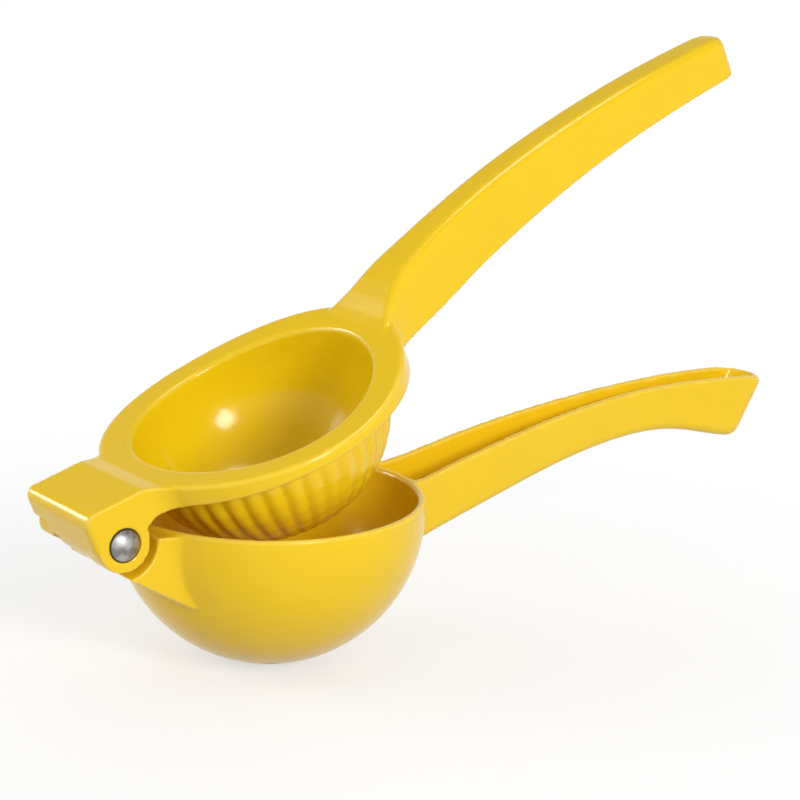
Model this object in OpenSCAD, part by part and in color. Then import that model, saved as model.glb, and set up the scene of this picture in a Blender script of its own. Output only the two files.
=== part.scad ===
// Hinged lemon squeezer: a strainer cup and a ribbed press bowl, each cast in one piece with its
// channel handle, joined by one solid rivet.
// Origin at the middle of the small flat under the cup, +Z up, +X towards the handles.
// The press arm is drawn closed, level over the cup, and then swung open about the rivet.

/* [Cup] */
// Inside radius of the cup at its rim
cup_inner_r = 35.7; // [33:0.1:36.5]
// Wall of the cup
cup_wall = 2; // [1.6:0.1:3]
// Height of the straight wall between the half ball and the rim
cup_straight = 3.1; // [1:0.1:6]
// Radius of the flat that the cup stands on
rest_flat_r = 5; // [3.5:0.1:8]
// Diameter of the juice holes
juice_hole_d = 3.6; // [2:0.1:4.5]
// Distance between the rings of juice holes
juice_ring_step = 7.2; // [6:0.1:9]
// Number of rings of juice holes
juice_rings = 2; // [1:1:3]
// Juice holes in the first ring
juice_ring_holes = 6; // [4:1:7]

/* [Press bowl] */
// Room for the peel between the cup and the ribs
peel_gap = 3.7; // [3:0.1:6]
// Radius of the round profile from the bowl's side to its bottom
press_profile_r = 27.8; // [24:0.1:28.5]
// Wall of the press bowl at a rib
press_wall = 2; // [1.8:0.1:3]
// How far the bowl sits towards the handles from the cup's axis when closed
press_shift = 1; // [0:0.1:1.5]
// Number of ribs round the bowl
rib_count = 40; // [30:1:44]
// Depth of the grooves between the ribs at the flange
rib_depth = 0.9; // [0.4:0.05:1.1]
// How far the flange stands out past the cup's rim
flange_lap = 0.5; // [0:0.1:1.5]
// Thickness of the flange at its middle
flange_t = 3.3; // [2.6:0.1:4.2]
// Rise of the flange's top at the hood
hood_sweep = 1.9; // [1:0.1:2.4]
// Rise of the flange's top at the handle
neck_sweep = 3.2; // [2:0.1:4]
// Gap between the flange and the cup's rim when closed
flange_gap = 0.9; // [0.5:0.1:1.5]
// Rounding of the bowl's lip
lip_r = 1.2; // [0.6:0.1:1.4]

/* [Hinge] */
// Distance from the cup's outside to the rivet's axis
pin_out = 10.3; // [9.6:0.1:14]
// Depth of the rivet's axis under the cup's rim
pin_drop = 0.9; // [0.6:0.1:1.6]
// Diameter of the rivet's shank
pin_d = 5; // [4:0.1:5.6]
// Diameter of the rivet's round heads
pin_head_d = 7.8; // [7:0.1:8.8]
// Height of the rivet's round heads
pin_head_h = 1.9; // [1.4:0.1:2.4]
// Gap round each head in its recess
head_gap = 0.35; // [0.2:0.05:0.6]
// Depth of the recess under each head
head_recess = 0.6; // [0.3:0.1:1]
// Width of the hinge across both ears
hinge_w = 28.8; // [26:0.1:32]
// Width of the tongue between the ears
tongue_w = 15; // [12:0.1:17]
// Radius of the tongue about the rivet
tongue_r = 5.9; // [5.2:0.1:6]
// Radius of the ears about the rivet
ear_r = 6.6; // [6.2:0.1:7]
// Width of the round slot that the ears turn in
ear_slot = 2; // [1:0.1:2.6]
// Gap between the two arms at the hinge
hinge_gap = 0.3; // [0.2:0.05:0.45]
// Radial play of the rivet in its holes
pin_play = 0.04; // [0.02:0.01:0.08]
// Slope of the hinge block's underside
block_slope = 31; // [25:1:36]
// How far the press arm stands open
open_angle = 23; // [5:1:60]

/* [Hood] */
// Distance from the rivet's axis to the hood's front face
hood_front = 6.95; // [6.8:0.05:8.5]
// Height of the hood's top over the rivet's axis, at its front
hood_rise = 11; // [9.6:0.1:13]
// Fall of the hood's top from its front to its bend
hood_fall = 1.4; // [0.4:0.1:2]
// Rounding of the hood's top front edge
hood_nose_r = 2.8; // [1:0.1:3.4]
// Rounding of the hood's upright front corners
hood_corner_r = 1.6; // [0.8:0.1:3]
// Height of the front wall's lower edge over the rivet's axis
front_edge = 1.2; // [1:0.1:3]
// Extra height of the notch at the far end of the front wall
front_notch = 3.2; // [1:0.1:3.6]
// Distance from the rivet's axis to the flat on the far ear, in the notch
ear_flat = 5.3; // [5:0.1:6.2]
// Radius of the hollow corners between the hinge and the round bowls
web_r = 8; // [4:0.5:10]

/* [Cup handle] */
// Distance from the cup's axis to the end of the cup's handle
cup_handle_reach = 160.8; // [140:0.1:180]
// Height of the top edge's crest over the cup's rim
cup_handle_crest = 12.2; // [8:0.1:12.8]
// Depth of the channel at the cup
cup_handle_root_h = 15.5; // [13:0.1:18]
// Depth of the channel at its waist
cup_handle_h = 12; // [9:0.1:14]
// Depth of the channel at its end
cup_handle_end_h = 16; // [12:0.1:18]
// Width of the channel behind the cup
cup_handle_root_w = 17.3; // [14:0.1:20]
// Width of the channel at its waist
cup_handle_w = 10.7; // [9.5:0.1:14]
// Width of the channel at its end
cup_handle_end_w = 14.4; // [12:0.1:18]
// Lean of the handle's end, in millimetres along for each one down
cup_handle_lean = 0.62; // [0:0.02:0.8]

/* [Press handle] */
// Distance from the cup's axis to the end of the press handle when closed
press_handle_reach = 165.2; // [145:0.1:180]
// Height of the handle's shoulder over the cup's rim when closed
press_handle_shoulder = 16.8; // [14:0.1:18]
// Height of the handle's crest over the cup's rim when closed
press_handle_crest = 25.6; // [25:0.1:32]
// Fall of the handle's top from its crest to its end
press_handle_fall = 2.4; // [0:0.1:5]
// Height of the handle's side under the crest
press_handle_h = 12.8; // [10:0.1:14]
// Height of the handle's side at its end
press_handle_end_h = 10.8; // [8:0.1:12]
// Width of the neck where the handle leaves the flange
press_neck_w = 31; // [26:0.1:34]
// Width over the crown at the shoulder
press_shoulder_w = 13.8; // [12:0.1:18]
// Width over the crown of the handle
press_handle_w = 10.6; // [9:0.1:13]
// Widening of the handle's walls from the crown to their foot
press_handle_draft = 1.3; // [0:0.1:3]
// Rounding of the handle's top edges
press_handle_round = 2.4; // [1:0.1:3]

/* [Castings] */
// Wall of the channels
channel_wall = 2; // [1.6:0.1:2.4]
// Rounding of the cup's rim and the flange
edge_r = 0.8; // [0.3:0.05:0.95]

/* [Hidden] */
enamel = [0.96, 0.79, 0.13];
steel = [0.74, 0.74, 0.76];
$fn = 96;
far = 60;                                      // reaches past anything near the hinge
bite = 0.6;                                    // how deep joined shapes run into each other

// Cup
cup_outer_r = cup_inner_r + cup_wall;
ball_z = sqrt(cup_outer_r * cup_outer_r - rest_flat_r * rest_flat_r);
rim_z = ball_z + cup_straight;
rim_edge_r = min(edge_r, cup_wall / 2 - 0.1);

// Hinge
pin_x = -cup_outer_r - pin_out;
pin_z = rim_z - pin_drop;
ear_slot_r = ear_r + ear_slot;
ear_in = tongue_w / 2 + hinge_gap;             // inner faces of the ears
wing_top_z = pin_z + 0.1;
block_clear = 6.65;                            // from the rivet's axis to the block's underside
neck = [3.5, -9.8];                            // where the neck's underside leaves the block's

// Press bowl, closed
press_r = cup_inner_r - peel_gap;              // over the ribs
flange_r = cup_outer_r + flange_lap;
flange_z = rim_z + flange_gap;
flange_top = flange_z + flange_t;
bowl_x = press_shift;
profile_c = press_r - press_profile_r;         // radius of the bowl's flat bottom
bore_r = press_r - press_wall;
mouth_r = bore_r + lip_r;

// Hood, closed
front_x = pin_x - hood_front;
hood_top = pin_z + hood_rise;
hood_edge_z = wing_top_z + hinge_gap + 0.2;    // lower edge of the hood's sides

// Heights at the places of a smooth curve through knots of [place, height, slope].
function hermite(a, b, x) =
    let (h = b[0] - a[0], t = (x - a[0]) / h, s = 1 - t)
    s * s * (1 + 2 * t) * a[1] + t * s * s * h * a[2] + t * t * (3 - 2 * t) * b[1] - t * t * s * h * b[2];
function curve(knots, x, i = 0) =
    i >= len(knots) - 2 || x <= knots[i + 1][0] ? hermite(knots[i], knots[i + 1], x) : curve(knots, x, i + 1);

function arc(y, z, r, from, n = 6) =
    [for (i = [0 : n]) let (a = from + 90 * i / n) [y + r * cos(a), z + r * sin(a)]];

// Places along a handle: even ones from a to b, then closer ones round its nose to end.
function stations(a, b, end, n, m) =
    concat([for (i = [0 : n]) a + (b - a) * i / n], [for (i = [1 : m]) b + (end - b) * sin(80 * i / m)]);
function nose(x, start, end) = x <= start ? 1 : pow(1 - pow((x - start) / (end - start), 2.5), 0.4);

// Cross-sections of a channel, [y, z]: a crowned one with its foot open, and a trough with its top open.
function crowned(w, foot_w, foot, top, r) =
    concat([[-foot_w, foot], [foot_w, foot]], arc(w - r, top - r, r, 0), arc(r - w, top - r, r, 90));
function trough(w, foot, top, r) =
    concat([[w, top], [-w, top]], arc(r - w, foot + r, r, 180), arc(w - r, foot + r, r, 270));

// A cross-section at the place x, leaning back by lean for each millimetre under the height top.
function stand(section, x, top = 0, lean = 0) = [for (p = section) [x - lean * (top - p[1]), p[0], p[1]]];

// The triangles between each ring of n points and the next, for m rings, back to the first if closed.
function strip(n, m, closed = false) =
    [for (i = [0 : closed ? m - 1 : m - 2]) for (j = [0 : n - 1])
        let (a = i * n, b = (i + 1) % m * n, k = (j + 1) % n)
        each [[a + j, b + j, a + k], [a + k, b + j, b + k]]];

// A solid through rings of points, all with as many points and in the same sense.
module loft(rings) {
    n = len(rings[0]);
    m = len(rings);
    start = [for (j = [0 : n - 1]) j];
    end = [for (j = [n - 1 : -1 : 0]) (m - 1) * n + j];
    polyhedron([for (ring = rings) each ring], concat(strip(n, m), [start, end]));
}

// A ring-shaped solid through cross-sections that come back to the first.
module loop(sections) {
    polyhedron([for (s = sections) each s], strip(len(sections[0]), len(sections), true));
}

// A plane outline in X and Z, as thick as width and centred on Y = 0.
module slab(width) {
    rotate([90, 0, 0]) linear_extrude(width, center = true) children();
}

// A cylinder along Y about the rivet's axis, from y0 to y1.
module about_pin(r, y0, y1) {
    translate([pin_x, y0, pin_z]) rotate([-90, 0, 0]) cylinder(r = r, h = y1 - y0);
}

module both_sides() {
    children();
    mirror([0, 1, 0]) children();
}

// The hollow corner between a straight side at half the width w and a circle of radius r about [x, 0].
module web(w, r, x) {
    out = w + web_r;
    back = sqrt(pow(r + web_r, 2) - out * out);
    difference() {
        polygon([[x - back, 0], [x - back, w], [x - back * r / (r + web_r), out * r / (r + web_r)], [x, 0]]);
        translate([x - back, out]) circle(web_r);
    }
}

// ---- Cup arm ----
cup_root = cup_inner_r - 1;
cup_waist = cup_root + 79;
cup_nose = cup_handle_reach - cup_handle_end_w / 2;
cup_top_z = [[cup_root, rim_z, 0],
    [cup_outer_r + 6, rim_z + 0.7, 0.24],
    [cup_handle_reach - 32, rim_z + cup_handle_crest, 0],
    [cup_handle_reach, rim_z + cup_handle_crest - 1.6, -0.1]];
cup_depth = [[cup_root, cup_handle_root_h, 0],
    [cup_waist, cup_handle_h, 0],
    [cup_handle_reach, cup_handle_end_h, 0]];
cup_width = [[cup_root, cup_handle_root_w + 5, -0.5],
    [cup_outer_r + 14, cup_handle_root_w, -0.06],
    [cup_waist, cup_handle_w, 0],
    [cup_handle_reach, cup_handle_end_w, 0]];
cup_lean = [[cup_root, 0, 0],
    [cup_waist + 4, 0, 0],
    [cup_handle_reach, cup_handle_lean, 0]];

// One ring of the cup's channel, drawn in by inset and with its top raised by lift.
function cup_ring(x, narrow, inset, lift, r) =
    let (top = curve(cup_top_z, x), w = (curve(cup_width, x) / 2 - inset) * narrow,
        foot = top - curve(cup_depth, x) + inset)
    stand(trough(w, foot, top + lift, min(r, w - 0.1)), x, top, curve(cup_lean, x));

module cup_handle() {
    last = cup_handle_reach - channel_wall - 0.5;
    difference() {
        loft([for (x = stations(cup_root, cup_nose, cup_handle_reach, 20, 7))
            cup_ring(x, nose(x, cup_nose, cup_handle_reach), 0, 0, 2.4)]);
        loft([for (x = stations(cup_outer_r - bite, cup_nose, last, 18, 5))
            cup_ring(x, nose(x, cup_nose, last), channel_wall, 3, 1.4)]);
    }
}

module cup_shell() {
    rotate_extrude() intersection() {
        square([far, rim_z]);
        union() {
            translate([0, ball_z]) circle(cup_outer_r);
            translate([0, ball_z]) square([cup_outer_r, cup_straight - rim_edge_r]);
            translate([0, ball_z]) square([cup_outer_r - rim_edge_r, cup_straight]);
            translate([cup_outer_r - rim_edge_r, rim_z - rim_edge_r]) circle(rim_edge_r);
        }
    }
}

module cup_inside() {
    rotate_extrude() {
        intersection() {
            translate([0, ball_z]) circle(cup_inner_r);
            square([far, ball_z + bite]);
        }
        translate([0, ball_z]) square([cup_inner_r, cup_straight + far]);
        translate([0, rim_z - rim_edge_r]) difference() {
            square([cup_inner_r + rim_edge_r, rim_edge_r + far]);
            translate([cup_inner_r + rim_edge_r, 0]) circle(rim_edge_r);
        }
    }
}

// Rings of holes round the solid middle that the cup stands on.
module juice_holes() {
    for (ring = [1 : juice_rings])
        for (i = [0 : ring * juice_ring_holes - 1])
            rotate(360 * i / (ring * juice_ring_holes))
                translate([ring * juice_ring_step, 0, 0]) cylinder(d = juice_hole_d, h = far, center = true);
}

// The block that carries the rivet: two flat wings and the tongue between the ears.
module hinge_block() {
    fall = [cos(block_slope), -sin(block_slope)];
    foot = [pin_x, pin_z] - block_clear * [sin(block_slope), cos(block_slope)];
    neck_at = [pin_x, pin_z] + neck;
    deep = -pin_x / 2;                         // runs into the cup, where the inside is cut away
    touch = atan2(neck[1], neck[0]) - acos(tongue_r / norm(neck));
    difference() {
        intersection() {
            translate([0, 0, rim_z]) rotate([0, -11, 0]) linear_extrude(2 * far, center = true) {
                translate([-far, -hinge_w / 2]) square([far, hinge_w]);
                both_sides() web(hinge_w / 2, cup_outer_r - 0.8, 0);
            }
            slab(far) polygon([foot, foot + deep * fall, foot + [deep, 0],
                [foot[0] + deep, wing_top_z], [foot[0], wing_top_z]]);
        }
        both_sides() about_pin(ear_slot_r, tongue_w / 2, far);
        slab(tongue_w + 1) polygon([[pin_x - far, pin_z + far], [pin_x - far, pin_z - far],
            neck_at - [0, far], neck_at, [pin_x, pin_z] + tongue_r * [cos(touch), sin(touch)],
            [pin_x, pin_z], [pin_x, pin_z + far]]);
    }
    about_pin(tongue_r, -tongue_w / 2, tongue_w / 2);
}

module cup_arm() {
    color(enamel) difference() {
        union() {
            cup_shell();
            cup_handle();
            hinge_block();
        }
        cup_inside();
        juice_holes();
        about_pin(pin_d / 2 + pin_play, -far, far);
    }
}

// ---- Press arm ----
// Height of the flange's top at x from the bowl's middle: it sweeps up to the hood and to the handle.
function sweep(x) = flange_top + (x < 0 ? hood_sweep : neck_sweep) * pow(x / bore_r, 2);

// The ribbed ball that pushes into the fruit: its sides run down in ribs that fade to a small flat.
module ribbed_bowl() {
    per_rib = 5;
    n = rib_count * per_rib;
    function rib(r, i) = r - rib_depth * r / press_r * (1 - sin(180 * (i % per_rib) / per_rib));
    function level(r, z) =
        [for (i = [0 : n - 1]) let (a = -360 * i / n) [rib(r, i) * cos(a), rib(r, i) * sin(a), z]];
    translate([bowl_x, 0, 0]) loft(concat([level(press_r, flange_z + flange_t / 2)],
        [for (a = [0 : 9 : 90])
            level(profile_c + press_profile_r * cos(a), flange_z - press_profile_r * sin(a))]));
}

module bowl_inside() {
    in_r = press_profile_r - press_wall;
    translate([bowl_x, 0, 0]) rotate_extrude() {
        intersection() {
            translate([profile_c, flange_z]) circle(in_r);
            translate([0, flange_z - far]) square([far, far + bite]);
        }
        translate([0, flange_z - in_r]) square([profile_c, in_r + far]);
        translate([0, flange_z]) square([bore_r, far]);
    }
}

// The flange, rounded at the lip and at its outer edges, as one ring of cross-sections.
module flange() {
    n = 72;
    e = edge_r;
    function top(r, a, drop) = [bowl_x + r * cos(a), r * sin(a), sweep(r * cos(a)) - drop];
    function low(r, a, rise) = [bowl_x + r * cos(a), r * sin(a), flange_z + rise];
    function section(a) = concat(
        [low(bore_r - bite, a, 0), top(bore_r - bite, a, lip_r)],
        [for (t = [0 : 30 : 90]) top(bore_r - bite / 10 + lip_r * (1 - cos(t)), a, lip_r * (1 - sin(t)))],
        [for (t = [0 : 30 : 90]) top(flange_r - e * (1 - sin(t)), a, e * (1 - cos(t)))],
        [for (t = [0 : 30 : 90]) low(flange_r - e * (1 - cos(t)), a, e * (1 - sin(t)))]);
    loop([for (i = [0 : n - 1]) section(360 * i / n)]);
}

// The hood over the hinge, with its front wall, its two ears and the slot for the tongue.
module hood() {
    bend = [pin_x + 8.9, hood_top - hood_fall];
    step = [pin_x + 12.8, sweep(pin_x + 12.8 - bowl_x) + 0.15];
    seam = [bowl_x - mouth_r - 0.5, sweep(mouth_r + 0.5) - neck_sweep];   // sunk in the flange
    tunnel = bowl_x - flange_r + bite;
    difference() {
        union() {
            intersection() {
                linear_extrude(2 * far) {
                    translate([front_x, hood_corner_r - hinge_w / 2])
                        square([far / 2, hinge_w - 2 * hood_corner_r]);
                    translate([front_x + hood_corner_r, -hinge_w / 2])
                        square([bowl_x - mouth_r - pin_x, hinge_w]);
                    both_sides() translate([front_x + hood_corner_r, hinge_w / 2 - hood_corner_r])
                        circle(hood_corner_r);
                    both_sides() web(hinge_w / 2, flange_r - 0.2, bowl_x);
                }
                slab(far) union() {
                    translate([front_x + hood_nose_r, hood_top - hood_nose_r]) circle(hood_nose_r);
                    polygon([[front_x, pin_z + front_edge], [front_x, hood_top - hood_nose_r],
                        [front_x + hood_nose_r, hood_top], bend, step, seam, [seam[0], flange_z],
                        [bowl_x - flange_r - 1, flange_z], [pin_x + ear_r - bite, hood_edge_z],
                        [pin_x, pin_z + front_edge]]);
                }
            }
            about_pin(ear_r, -hinge_w / 2, -ear_in);
            difference() {
                about_pin(ear_r, ear_in, hinge_w / 2);
                translate([pin_x, 0, pin_z]) rotate([0, -37, 0])
                    translate([-far - ear_flat, 0, -far]) cube([far, far, 2 * far]);
            }
        }
        about_pin(tongue_r + hinge_gap, -ear_in, ear_in);
        slab(2 * ear_in) polygon([[pin_x, pin_z - far], [pin_x, pin_z + tongue_r + hinge_gap],
            [bend[0], pin_z + tongue_r + hinge_gap], [tunnel, flange_z + bite], [tunnel, pin_z - far]]);
        difference() {
            translate([front_x - 1, ear_in, pin_z - far])
                cube([hood_front + 1, far, far + front_edge + front_notch]);
            about_pin(ear_r, 0, far);
        }
    }
}

neck_x = bowl_x + mouth_r + 0.4;
shoulder_x = neck_x + 16.5;
waist_x = neck_x + 41.5;
crest_x = neck_x + 90;
press_nose = press_handle_reach - press_handle_w / 2;
press_end_z = rim_z + press_handle_crest - press_handle_fall;
press_top_z = [[neck_x, sweep(neck_x - bowl_x) - 0.35, 0.5],
    [shoulder_x, rim_z + press_handle_shoulder, 0.29],
    [crest_x, rim_z + press_handle_crest, 0],
    [press_handle_reach, press_end_z, -0.11]];
press_foot_z = [[neck_x, flange_z, 0],
    [shoulder_x - 3, flange_z, 0.05],
    [waist_x, rim_z + (press_handle_crest - press_handle_h) / 2 - 0.2, 0.2],
    [crest_x + 10, rim_z + press_handle_crest - press_handle_h, 0.02],
    [press_handle_reach, press_end_z - press_handle_end_h, -0.05]];
press_width = [[neck_x, press_neck_w, -1.9],
    [neck_x + 7.5, (press_neck_w + press_shoulder_w) / 2 - 2.6, -1.1],
    [shoulder_x + 1, press_shoulder_w, -0.28],
    [waist_x + 6, press_handle_w + 0.2, -0.01],
    [press_handle_reach, press_handle_w, 0]];

// One ring of the press handle, drawn in by inset and with its foot lowered by drop.
function press_ring(x, narrow, inset, drop, r) =
    let (top = curve(press_top_z, x) - inset - 1.2 * (1 - narrow),
        foot = curve(press_foot_z, x) + 0.8 * (1 - narrow) - drop,
        w = (curve(press_width, x) / 2 - inset) * narrow,
        foot_w = (curve(press_width, x) / 2 + press_handle_draft / 2 - inset) * narrow)
    stand(crowned(w, foot_w, foot, top, min(r, w - 0.1, top - foot - 0.1)), x);

module press_handle() {
    start = shoulder_x - 4;
    last = press_handle_reach - channel_wall - 1.5;
    difference() {
        loft([for (x = stations(neck_x, press_nose, press_handle_reach, 32, 7))
            press_ring(x, nose(x, press_nose, press_handle_reach), 0, 0, press_handle_round)]);
        loft([for (x = stations(start, press_nose, last, 20, 4))
            press_ring(x, nose(x, press_nose, last), channel_wall, 3, 0.8)]);
    }
}

module rivet_holes() {
    about_pin(pin_d / 2 + pin_play, -far, far);
    both_sides() about_pin(pin_head_d / 2 + head_gap, hinge_w / 2 - head_recess, far);
}

// Swings what is drawn closed to where the press arm stands.
module swung_open() {
    translate([pin_x, 0, pin_z]) rotate([0, -open_angle, 0]) translate([-pin_x, 0, -pin_z]) children();
}

module press_arm() {
    color(enamel) swung_open() difference() {
        union() {
            hood();
            flange();
            ribbed_bowl();
            press_handle();
        }
        bowl_inside();
        rivet_holes();
    }
}

// ---- Rivet ----
module hinge_pin() {
    seat = hinge_w / 2 - head_recess;
    skirt = 0.4;                               // upright rim under the round of the head
    cap = pin_head_h - skirt;
    ball = (pow(pin_head_d / 2, 2) + cap * cap) / (2 * cap);
    color(steel) translate([pin_x, 0, pin_z]) rotate([90, 0, 0]) {
        cylinder(d = pin_d, h = 2 * seat, center = true);
        for (side = [0, 1]) mirror([0, 0, side]) translate([0, 0, seat]) rotate_extrude() {
            square([pin_head_d / 2, skirt]);
            intersection() {
                translate([0, pin_head_h - ball]) circle(ball);
                translate([0, skirt / 2]) square([pin_head_d / 2, pin_head_h]);
            }
        }
    }
}

cup_arm();
press_arm();
hinge_pin();
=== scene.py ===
"""Hinged lemon squeezer: the two enamelled castings and the steel rivet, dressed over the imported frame."""

import math

import bpy
import numpy as np
from mathutils import Matrix, Vector


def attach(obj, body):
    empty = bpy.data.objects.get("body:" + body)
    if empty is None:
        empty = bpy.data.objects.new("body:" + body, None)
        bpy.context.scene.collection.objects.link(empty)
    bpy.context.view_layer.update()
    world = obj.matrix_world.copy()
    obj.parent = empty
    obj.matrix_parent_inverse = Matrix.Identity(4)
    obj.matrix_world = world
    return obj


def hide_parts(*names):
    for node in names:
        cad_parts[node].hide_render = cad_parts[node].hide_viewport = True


MM = 0.001
PIN = Vector((-48.0, 0.0, 39.567)) * MM      # the middle of the rivet
BOWL = Vector((-3.6, 0.0, 60.37)) * MM       # the middle of the press bowl's mouth, in the stored pose
OPEN = math.radians(-23)                     # the press arm's turn about Y from closed, in the stored pose
SKIN = 0.45 * MM                             # the size of the castings' faces before they are thinned
ROUNDING = 4                                 # smoothing passes that round the castings' edges
MOST_TRIANGLES = 190000                      # in one casting
ANY = 999.0                                  # a mask's reach where it takes in everything
LAMPS_AIM = (0, 0, 0.06)

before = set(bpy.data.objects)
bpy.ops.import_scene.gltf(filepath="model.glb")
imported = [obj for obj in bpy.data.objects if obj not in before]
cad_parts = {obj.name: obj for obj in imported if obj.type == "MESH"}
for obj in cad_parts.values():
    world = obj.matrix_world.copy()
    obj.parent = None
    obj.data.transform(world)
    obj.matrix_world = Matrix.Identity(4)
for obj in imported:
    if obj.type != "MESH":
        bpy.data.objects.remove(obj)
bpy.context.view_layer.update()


# ---- Small helpers ----

def pick(obj):
    """Makes obj the one selected and active object."""
    bpy.ops.object.select_all(action="DESELECT")
    obj.select_set(True)
    bpy.context.view_layer.objects.active = obj


def finish_modifiers(obj):
    """Applies each of obj's modifiers in their order."""
    pick(obj)
    for modifier in list(obj.modifiers):
        bpy.ops.object.modifier_apply(modifier=modifier.name)


def aim(obj, place, target):
    """Puts obj at place, looking along its -Z at target."""
    obj.location = place
    obj.rotation_mode = "QUATERNION"
    obj.rotation_quaternion = (Vector(target) - Vector(place)).to_track_quat("-Z", "Y")


# ---- Shader groups ----

def new_group(name, inputs, outputs):
    """A shader node group with float inputs [(name, default)] and outputs [(name, type)]."""
    group = bpy.data.node_groups.new(name, "ShaderNodeTree")
    for label, default in inputs:
        socket = group.interface.new_socket(label, in_out="INPUT", socket_type="NodeSocketFloat")
        socket.default_value = default
    for label, kind in outputs:
        group.interface.new_socket(label, in_out="OUTPUT", socket_type=kind)
    return group, group.nodes.new("NodeGroupInput"), group.nodes.new("NodeGroupOutput")


def make_surface_waves():
    """Slow waves and fine orange peel of a stoved coat, as one height, and a slow 0 to 1 mottle."""
    group, given, out = new_group(
        "coat_waves", [("Wave Size", 12.0), ("Peel Size", 1.6), ("Peel Share", 0.35)],
        [("Height", "NodeSocketFloat"), ("Mottle", "NodeSocketFloat")])
    link = group.links.new
    place = group.nodes.new("ShaderNodeTexCoord")

    def noise(size_socket, detail):
        per_metre = group.nodes.new("ShaderNodeMath")
        per_metre.operation = "DIVIDE"
        per_metre.inputs[0].default_value = 1000.0
        link(given.outputs[size_socket], per_metre.inputs[1])
        node = group.nodes.new("ShaderNodeTexNoise")
        node.inputs["Detail"].default_value = detail
        node.inputs["Roughness"].default_value = 0.5
        link(place.outputs["Object"], node.inputs["Vector"])
        link(per_metre.outputs[0], node.inputs["Scale"])
        return node

    waves = noise("Wave Size", 1.0)
    peel = noise("Peel Size", 2.0)
    share = group.nodes.new("ShaderNodeMix")
    share.data_type = "FLOAT"
    link(given.outputs["Peel Share"], share.inputs[0])
    link(waves.outputs[0], share.inputs[2])
    link(peel.outputs[0], share.inputs[3])
    link(share.outputs[0], out.inputs["Height"])
    link(waves.outputs[0], out.inputs["Mottle"])
    return group


def make_edge_finder():
    """A 0 to 1 mask of the outer edges, and one of the inner corners, from the casting's relief in mm."""
    group, given, out = new_group(
        "edge_finder", [("Edge From", 0.05), ("Edge To", 0.3), ("Corner From", 0.04), ("Corner To", 0.2)],
        [("Edge", "NodeSocketFloat"), ("Corner", "NodeSocketFloat")])
    link = group.links.new
    relief = group.nodes.new("ShaderNodeAttribute")
    relief.attribute_name = "relief"
    hollow = group.nodes.new("ShaderNodeMath")
    hollow.operation = "MULTIPLY"
    hollow.inputs[1].default_value = -1.0
    link(relief.outputs["Fac"], hollow.inputs[0])
    for mask, height in (("Edge", relief.outputs["Fac"]), ("Corner", hollow.outputs[0])):
        ramp = group.nodes.new("ShaderNodeMapRange")
        link(height, ramp.inputs["Value"])
        link(given.outputs[mask + " From"], ramp.inputs["From Min"])
        link(given.outputs[mask + " To"], ramp.inputs["From Max"])
        link(ramp.outputs["Result"], out.inputs[mask])
    return group


def place_group(tree, group, values):
    """Puts group into a material's tree and sets its inputs."""
    node = tree.nodes.new("ShaderNodeGroup")
    node.node_tree = group
    for label, value in values.items():
        node.inputs[label].default_value = value
    return node


def colour_mix(tree, first, second):
    """A colour mix between two written colours, with its factor free."""
    node = tree.nodes.new("ShaderNodeMix")
    node.data_type = "RGBA"
    node.inputs[6].default_value = (*first, 1)
    node.inputs[7].default_value = (*second, 1)
    return node


def near_mask(tree, middle, turn, reach, soft):
    """1 inside the ball that is squeezed to reach (x, y, z), turned about Y and put at middle, 0 past soft times it."""
    place = tree.nodes.new("ShaderNodeTexCoord")
    fit = tree.nodes.new("ShaderNodeMapping")
    fit.vector_type = "TEXTURE"
    fit.inputs["Location"].default_value = middle
    fit.inputs["Rotation"].default_value = (0, turn, 0)
    fit.inputs["Scale"].default_value = Vector(reach) * MM
    tree.links.new(place.outputs["Object"], fit.inputs["Vector"])
    away = tree.nodes.new("ShaderNodeVectorMath")
    away.operation = "LENGTH"
    tree.links.new(fit.outputs[0], away.inputs[0])
    ramp = tree.nodes.new("ShaderNodeMapRange")
    for label, value in (("From Min", 1.0), ("From Max", soft), ("To Min", 1.0), ("To Max", 0.0)):
        ramp.inputs[label].default_value = value
    tree.links.new(away.outputs["Value"], ramp.inputs["Value"])
    return ramp.outputs["Result"]


COAT_WAVES = make_surface_waves()
EDGE_FINDER = make_edge_finder()


# ---- Materials ----

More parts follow.
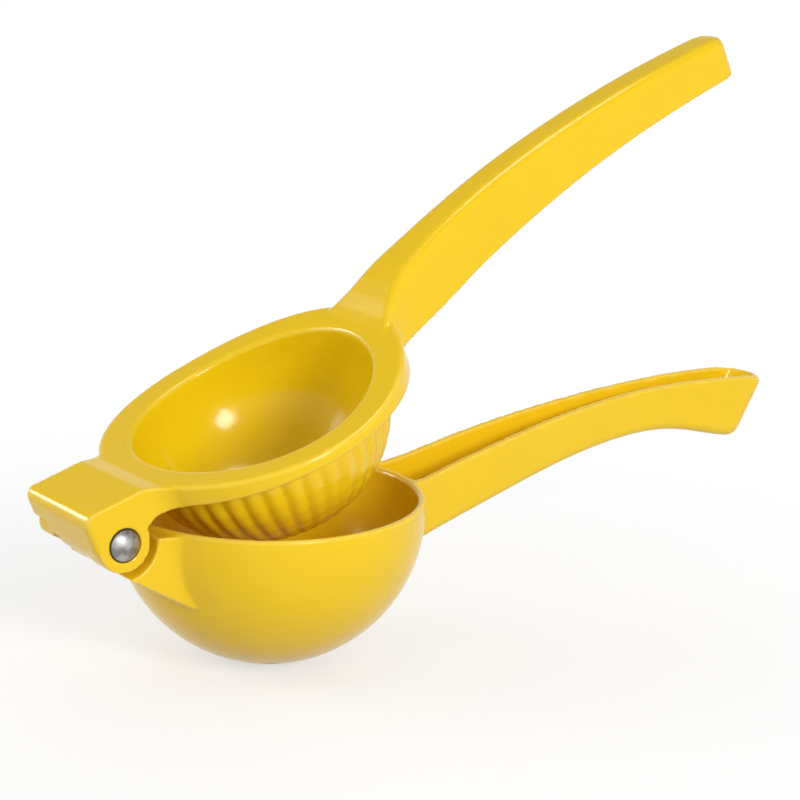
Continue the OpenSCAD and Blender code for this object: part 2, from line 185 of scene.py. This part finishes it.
def make_enamel(name):
    """Glossy yellow enamel, with painted shade inside the press bowl and the rivet's seat, a deeper gold in the
    inner corners (thick coat and painted shade), and paler over the edges (thin coat and painted highlight).
    """
    material = bpy.data.materials.new(name)
    material.use_nodes = True
    tree = material.node_tree
    link = tree.links.new
    shader = tree.nodes["Principled BSDF"]
    shader.inputs["Roughness"].default_value = 0.23
    shader.inputs["IOR"].default_value = 1.22
    shader.inputs["Coat Weight"].default_value = 0.3
    shader.inputs["Coat Roughness"].default_value = 0.12

    waves = place_group(tree, COAT_WAVES, {"Wave Size": 14.0, "Peel Size": 1.3, "Peel Share": 0.3})
    edges = place_group(tree, EDGE_FINDER, {})
    ground = colour_mix(tree, (0.86, 0.56, 0.009), (0.90, 0.59, 0.013))
    link(waves.outputs["Mottle"], ground.inputs[0])
    layers = (
        (near_mask(tree, BOWL, OPEN, (30.9, 30.9, 26.7), 1.01), (0.81, 0.56, 0.006)),       # painted shade inside the press bowl
        # inner corners: a deeper gold, partly thick coat and partly painted shade
        (edges.outputs["Corner"], (0.76, 0.40, 0.004)),
        # outer edges: paler, partly thin coat and partly painted highlight
        (edges.outputs["Edge"], (0.95, 0.70, 0.13)),
        (near_mask(tree, PIN, 0.0, (4.0, ANY, 4.0), 1.05), (0.14, 0.085, 0.02)))          # painted shade in the gap round the rivet's head
    colour = ground.outputs[2]
    for mask, tint in layers:
        layer = colour_mix(tree, (0, 0, 0), tint)
        link(mask, layer.inputs[0])
        link(colour, layer.inputs[6])
        colour = layer.outputs[2]
    link(colour, shader.inputs["Base Color"])

    bump = tree.nodes.new("ShaderNodeBump")
    bump.inputs["Strength"].default_value = 0.25
    bump.inputs["Distance"].default_value = 0.1 * MM
    link(waves.outputs["Height"], bump.inputs["Height"])
    link(bump.outputs["Normal"], shader.inputs["Normal"])
    return material


def make_rivet_steel(name):
    """Satin steel, with the fine uneven shine that tumbling leaves, and painted shade round the head's edge."""
    material = bpy.data.materials.new(name)
    material.use_nodes = True
    tree = material.node_tree
    link = tree.links.new
    shader = tree.nodes["Principled BSDF"]
    shader.inputs["Metallic"].default_value = 1.0

    waves = place_group(tree, COAT_WAVES, {"Wave Size": 2.2, "Peel Size": 0.35, "Peel Share": 0.5})
    patches = tree.nodes.new("ShaderNodeMapRange")
    patches.inputs["From Min"].default_value = 0.36
    patches.inputs["From Max"].default_value = 0.6
    link(waves.outputs["Mottle"], patches.inputs["Value"])
    tone = colour_mix(tree, (0.24, 0.235, 0.23), (0.46, 0.45, 0.435))
    link(patches.outputs["Result"], tone.inputs[0])
    rim = colour_mix(tree, (0.07, 0.065, 0.055), (0, 0, 0))     # painted shade: the head's outer edge darkened where it sits in its recess
    link(near_mask(tree, PIN, 0.0, (3.6, ANY, 3.6), 1.03), rim.inputs[0])
    link(tone.outputs[2], rim.inputs[7])
    link(rim.outputs[2], shader.inputs["Base Color"])
    shine = tree.nodes.new("ShaderNodeMapRange")
    shine.inputs["To Min"].default_value = 0.3
    shine.inputs["To Max"].default_value = 0.52
    link(waves.outputs["Height"], shine.inputs["Value"])
    link(shine.outputs["Result"], shader.inputs["Roughness"])
    bump = tree.nodes.new("ShaderNodeBump")
    bump.inputs["Strength"].default_value = 0.3
    bump.inputs["Distance"].default_value = 0.03 * MM
    link(waves.outputs["Height"], bump.inputs["Height"])
    link(bump.outputs["Normal"], shader.inputs["Normal"])
    return material


# ---- The castings ----

def keep_relief(casting, passes):
    """Stores how far each point stands out of a smoothed copy of the casting, in millimetres, as "relief"."""
    mesh = casting.data
    points = np.empty(3 * len(mesh.vertices))
    normals = np.empty(3 * len(mesh.vertices))
    ends = np.empty(2 * len(mesh.edges), dtype=np.int64)
    mesh.vertices.foreach_get("co", points)
    mesh.vertices.foreach_get("normal", normals)
    mesh.edges.foreach_get("vertices", ends)
    points, normals, ends = points.reshape(-1, 3), normals.reshape(-1, 3), ends.reshape(-1, 2)
    near, far = np.concatenate((ends[:, 0], ends[:, 1])), np.concatenate((ends[:, 1], ends[:, 0]))
    count = np.maximum(np.bincount(near, minlength=len(points)), 1)
    soft = points.copy()
    for _ in range(passes):
        for axis in range(3):
            middle = np.bincount(near, weights=soft[far, axis], minlength=len(points)) / count
            soft[:, axis] = 0.4 * soft[:, axis] + 0.6 * middle
    relief = mesh.attributes.new("relief", "FLOAT", "POINT")
    relief.data.foreach_set("value", np.einsum("ij,ij->i", points - soft, normals) / MM)


def trim(casting, corner, outward):
    """Cuts off what lies past the point corner in the direction outward, and closes the cut."""
    pick(casting)
    bpy.ops.object.mode_set(mode="EDIT")
    bpy.ops.mesh.select_all(action="SELECT")
    bpy.ops.mesh.bisect(plane_co=corner, plane_no=outward, clear_outer=True, use_fill=True)
    bpy.ops.object.mode_set(mode="OBJECT")


def make_casting(node, name, body, trims=()):
    """A copy of a casting of the frame, with its edges and inner corners rounded as mould and enamel leave them,
    and its flat stretches thinned."""
    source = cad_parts[node]
    casting = bpy.data.objects.new(name, source.data.copy())
    bpy.context.scene.collection.objects.link(casting)
    pick(casting)
    bpy.ops.object.mode_set(mode="EDIT")
    bpy.ops.mesh.select_all(action="SELECT")
    bpy.ops.mesh.remove_doubles(threshold=0.002 * MM)
    bpy.ops.object.mode_set(mode="OBJECT")
    for corner, outward in trims:
        trim(casting, corner, outward)
    skin = casting.modifiers.new("skin", "REMESH")
    skin.mode = "VOXEL"
    skin.voxel_size = SKIN
    flow = casting.modifiers.new("flow", "SMOOTH")
    flow.factor = 0.5
    flow.iterations = ROUNDING
    finish_modifiers(casting)
    keep_relief(casting, 6)
    triangles = 2 * len(casting.data.polygons)       # the skin is all quads
    thin = casting.modifiers.new("thin", "DECIMATE")
    thin.ratio = MOST_TRIANGLES / triangles
    finish_modifiers(casting)
    bpy.ops.object.shade_smooth()
    casting.data.materials.clear()
    casting.data.materials.append(ENAMEL)
    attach(casting, body)
    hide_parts(node)


ENAMEL = make_enamel("yellow_enamel")
RIVET_STEEL = make_rivet_steel("rivet_steel")

def tip_facets(middle, reach, height, rounding):
    """Planes that round the upper corner of a handle's end: an arc of reach about middle, at height, all in mm."""
    facets = []
    for turn in (-56, -28, 0, 28, 56):
        away = Vector((math.cos(math.radians(turn)), math.sin(math.radians(turn)), 0))
        corner = Vector((middle, 0, height)) + reach * away
        lean = math.radians(26)                     # halfway between the rim's top and the slanted end
        centre = corner - 2 * rounding * (math.cos(lean) * away + Vector((0, 0, math.sin(lean))))
        for tilt in (-10, 26, 62):
            outward = math.cos(math.radians(tilt)) * away + Vector((0, 0, math.sin(math.radians(tilt))))
            facets.append(((centre + rounding * outward) * MM, outward))
    return facets


make_casting("cup_arm", "strainer_cup", "cup_arm", trims=tip_facets(151.2, 9.6, 51.1, 1.6))
make_casting("press_arm", "press_bowl", "press_arm")
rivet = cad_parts["hinge_pin"]
rivet.data.materials.clear()
rivet.data.materials.append(RIVET_STEEL)


# ---- Stage ----

def seen_directly(tree):
    """1 for rays that come from the camera, straight or by way of gloss or glass, and 0 for the rest."""
    path = tree.nodes.new("ShaderNodeLightPath")
    seen = path.outputs["Is Camera Ray"]
    for label in ("Is Glossy Ray", "Is Transmission Ray"):
        either = tree.nodes.new("ShaderNodeMath")
        either.operation = "MAXIMUM"
        tree.links.new(seen, either.inputs[0])
        tree.links.new(path.outputs[label], either.inputs[1])
        seen = either.outputs[0]
    return seen


def make_paper(name):
    """White paper: plain white away from the object, and a soft shadow round its foot."""
    material = bpy.data.materials.new(name)
    material.use_nodes = True
    tree = material.node_tree
    link = tree.links.new
    shader = tree.nodes["Principled BSDF"]
    shader.inputs["Roughness"].default_value = 0.9

    seen = seen_directly(tree)
    tone = colour_mix(tree, (0.5, 0.5, 0.5), (1.0, 1.0, 1.0))
    link(seen, tone.inputs[0])
    link(tone.outputs[2], shader.inputs["Base Color"])
    place = tree.nodes.new("ShaderNodeTexCoord")
    reach = tree.nodes.new("ShaderNodeVectorMath")
    reach.operation = "LENGTH"
    link(place.outputs["Object"], reach.inputs[0])
    fade = tree.nodes.new("ShaderNodeMapRange")
    fade.interpolation_type = "SMOOTHSTEP"
    fade.inputs["From Min"].default_value = 0.06
    fade.inputs["From Max"].default_value = 0.24
    fade.inputs["To Min"].default_value = 0.6
    link(reach.outputs["Value"], fade.inputs["Value"])
    share = tree.nodes.new("ShaderNodeMath")
    share.operation = "MULTIPLY"
    link(seen, share.inputs[0])
    link(fade.outputs["Result"], share.inputs[1])
    white = tree.nodes.new("ShaderNodeEmission")
    mix = tree.nodes.new("ShaderNodeMixShader")
    link(share.outputs[0], mix.inputs[0])
    link(shader.outputs[0], mix.inputs[1])
    link(white.outputs[0], mix.inputs[2])
    link(mix.outputs[0], tree.nodes["Material Output"].inputs["Surface"])
    return material


def make_floor():
    """The pale floor that the cup stands on."""
    bpy.ops.object.select_all(action="DESELECT")
    bpy.ops.mesh.primitive_plane_add(size=6.0, location=(0, 0, 0))
    floor = bpy.context.active_object
    floor.name = "floor"
    floor.data.materials.append(make_paper("paper"))


def make_lamp(name, place, size, power):
    """A round softbox of size metres at place, which the camera doesn't see."""
    light = bpy.data.lights.new(name, "AREA")
    light.shape = "DISK"
    light.size = size
    light.energy = power
    lamp = bpy.data.objects.new(name, light)
    bpy.context.scene.collection.objects.link(lamp)
    aim(lamp, place, LAMPS_AIM)
    lamp.visible_camera = False
    return lamp


def make_world():
    """Even light from all round, and a white background, which reflections see dim overhead."""
    world = bpy.data.worlds.new("studio")
    bpy.context.scene.world = world
    world.use_nodes = True
    tree = world.node_tree
    tree.nodes.clear()
    link = tree.links.new
    ground = tree.nodes.new("ShaderNodeBackground")
    ground.inputs["Color"].default_value = (1, 1, 1, 1)
    ground.inputs["Strength"].default_value = 0.56
    white = tree.nodes.new("ShaderNodeBackground")
    white.inputs["Color"].default_value = (1, 1, 1, 1)
    place = tree.nodes.new("ShaderNodeTexCoord")
    split = tree.nodes.new("ShaderNodeSeparateXYZ")
    link(place.outputs["Generated"], split.inputs[0])
    height = tree.nodes.new("ShaderNodeMapRange")
    height.interpolation_type = "SMOOTHSTEP"
    for label, value in (("From Min", 0.16), ("From Max", 0.55), ("To Min", 1.0), ("To Max", 0.2)):
        height.inputs[label].default_value = value
    link(split.outputs["Z"], height.inputs["Value"])
    link(height.outputs["Result"], white.inputs["Strength"])
    mix = tree.nodes.new("ShaderNodeMixShader")
    link(seen_directly(tree), mix.inputs[0])
    link(ground.outputs[0], mix.inputs[1])
    link(white.outputs[0], mix.inputs[2])
    out = tree.nodes.new("ShaderNodeOutputWorld")
    link(mix.outputs[0], out.inputs["Surface"])


def make_camera():
    """The photograph's view: from the near left and a little above, rolled slightly."""
    camera = bpy.data.objects.new("camera", bpy.data.cameras.new("camera"))
    bpy.context.scene.collection.objects.link(camera)
    camera.data.sensor_width = 36.0
    camera.data.lens = 108.0
    right = Vector((0.8054, -0.5923, 0.0220)).normalized()
    look = Vector((0.5787, 0.7777, -0.2456)).normalized()
    up = right.cross(look).normalized()
    turn = Matrix((right, up, -look)).transposed().to_4x4()
    camera.matrix_world = Matrix.Translation(Vector((-305.8, -462.7, 204.9)) * MM) @ turn
    camera.data.clip_start, camera.data.clip_end = 0.01, 20.0
    bpy.context.scene.camera = camera


make_floor()
make_lamp("key", (-0.07, -1.02, 0.46), 0.34, 7.1)                    # low, in front: the bowl's round highlight
make_lamp("rim", (-0.73, 0.64, 0.33), 0.56, 3.3)                     # behind, on the left
make_lamp("back_fill", (0.85, 0.75, 0.35), 0.9, 3.4).visible_glossy = False
make_lamp("overhead", (0.12, -0.08, 1.15), 0.5, 5.0).visible_diffuse = False      # thin lines on the lips
make_lamp("edge_light", (-0.5, 0.8, 0.4), 0.3, 2.7).visible_diffuse = False       # the hood's front edge
make_world()
make_camera()
bpy.context.scene.view_settings.view_transform = "Standard"
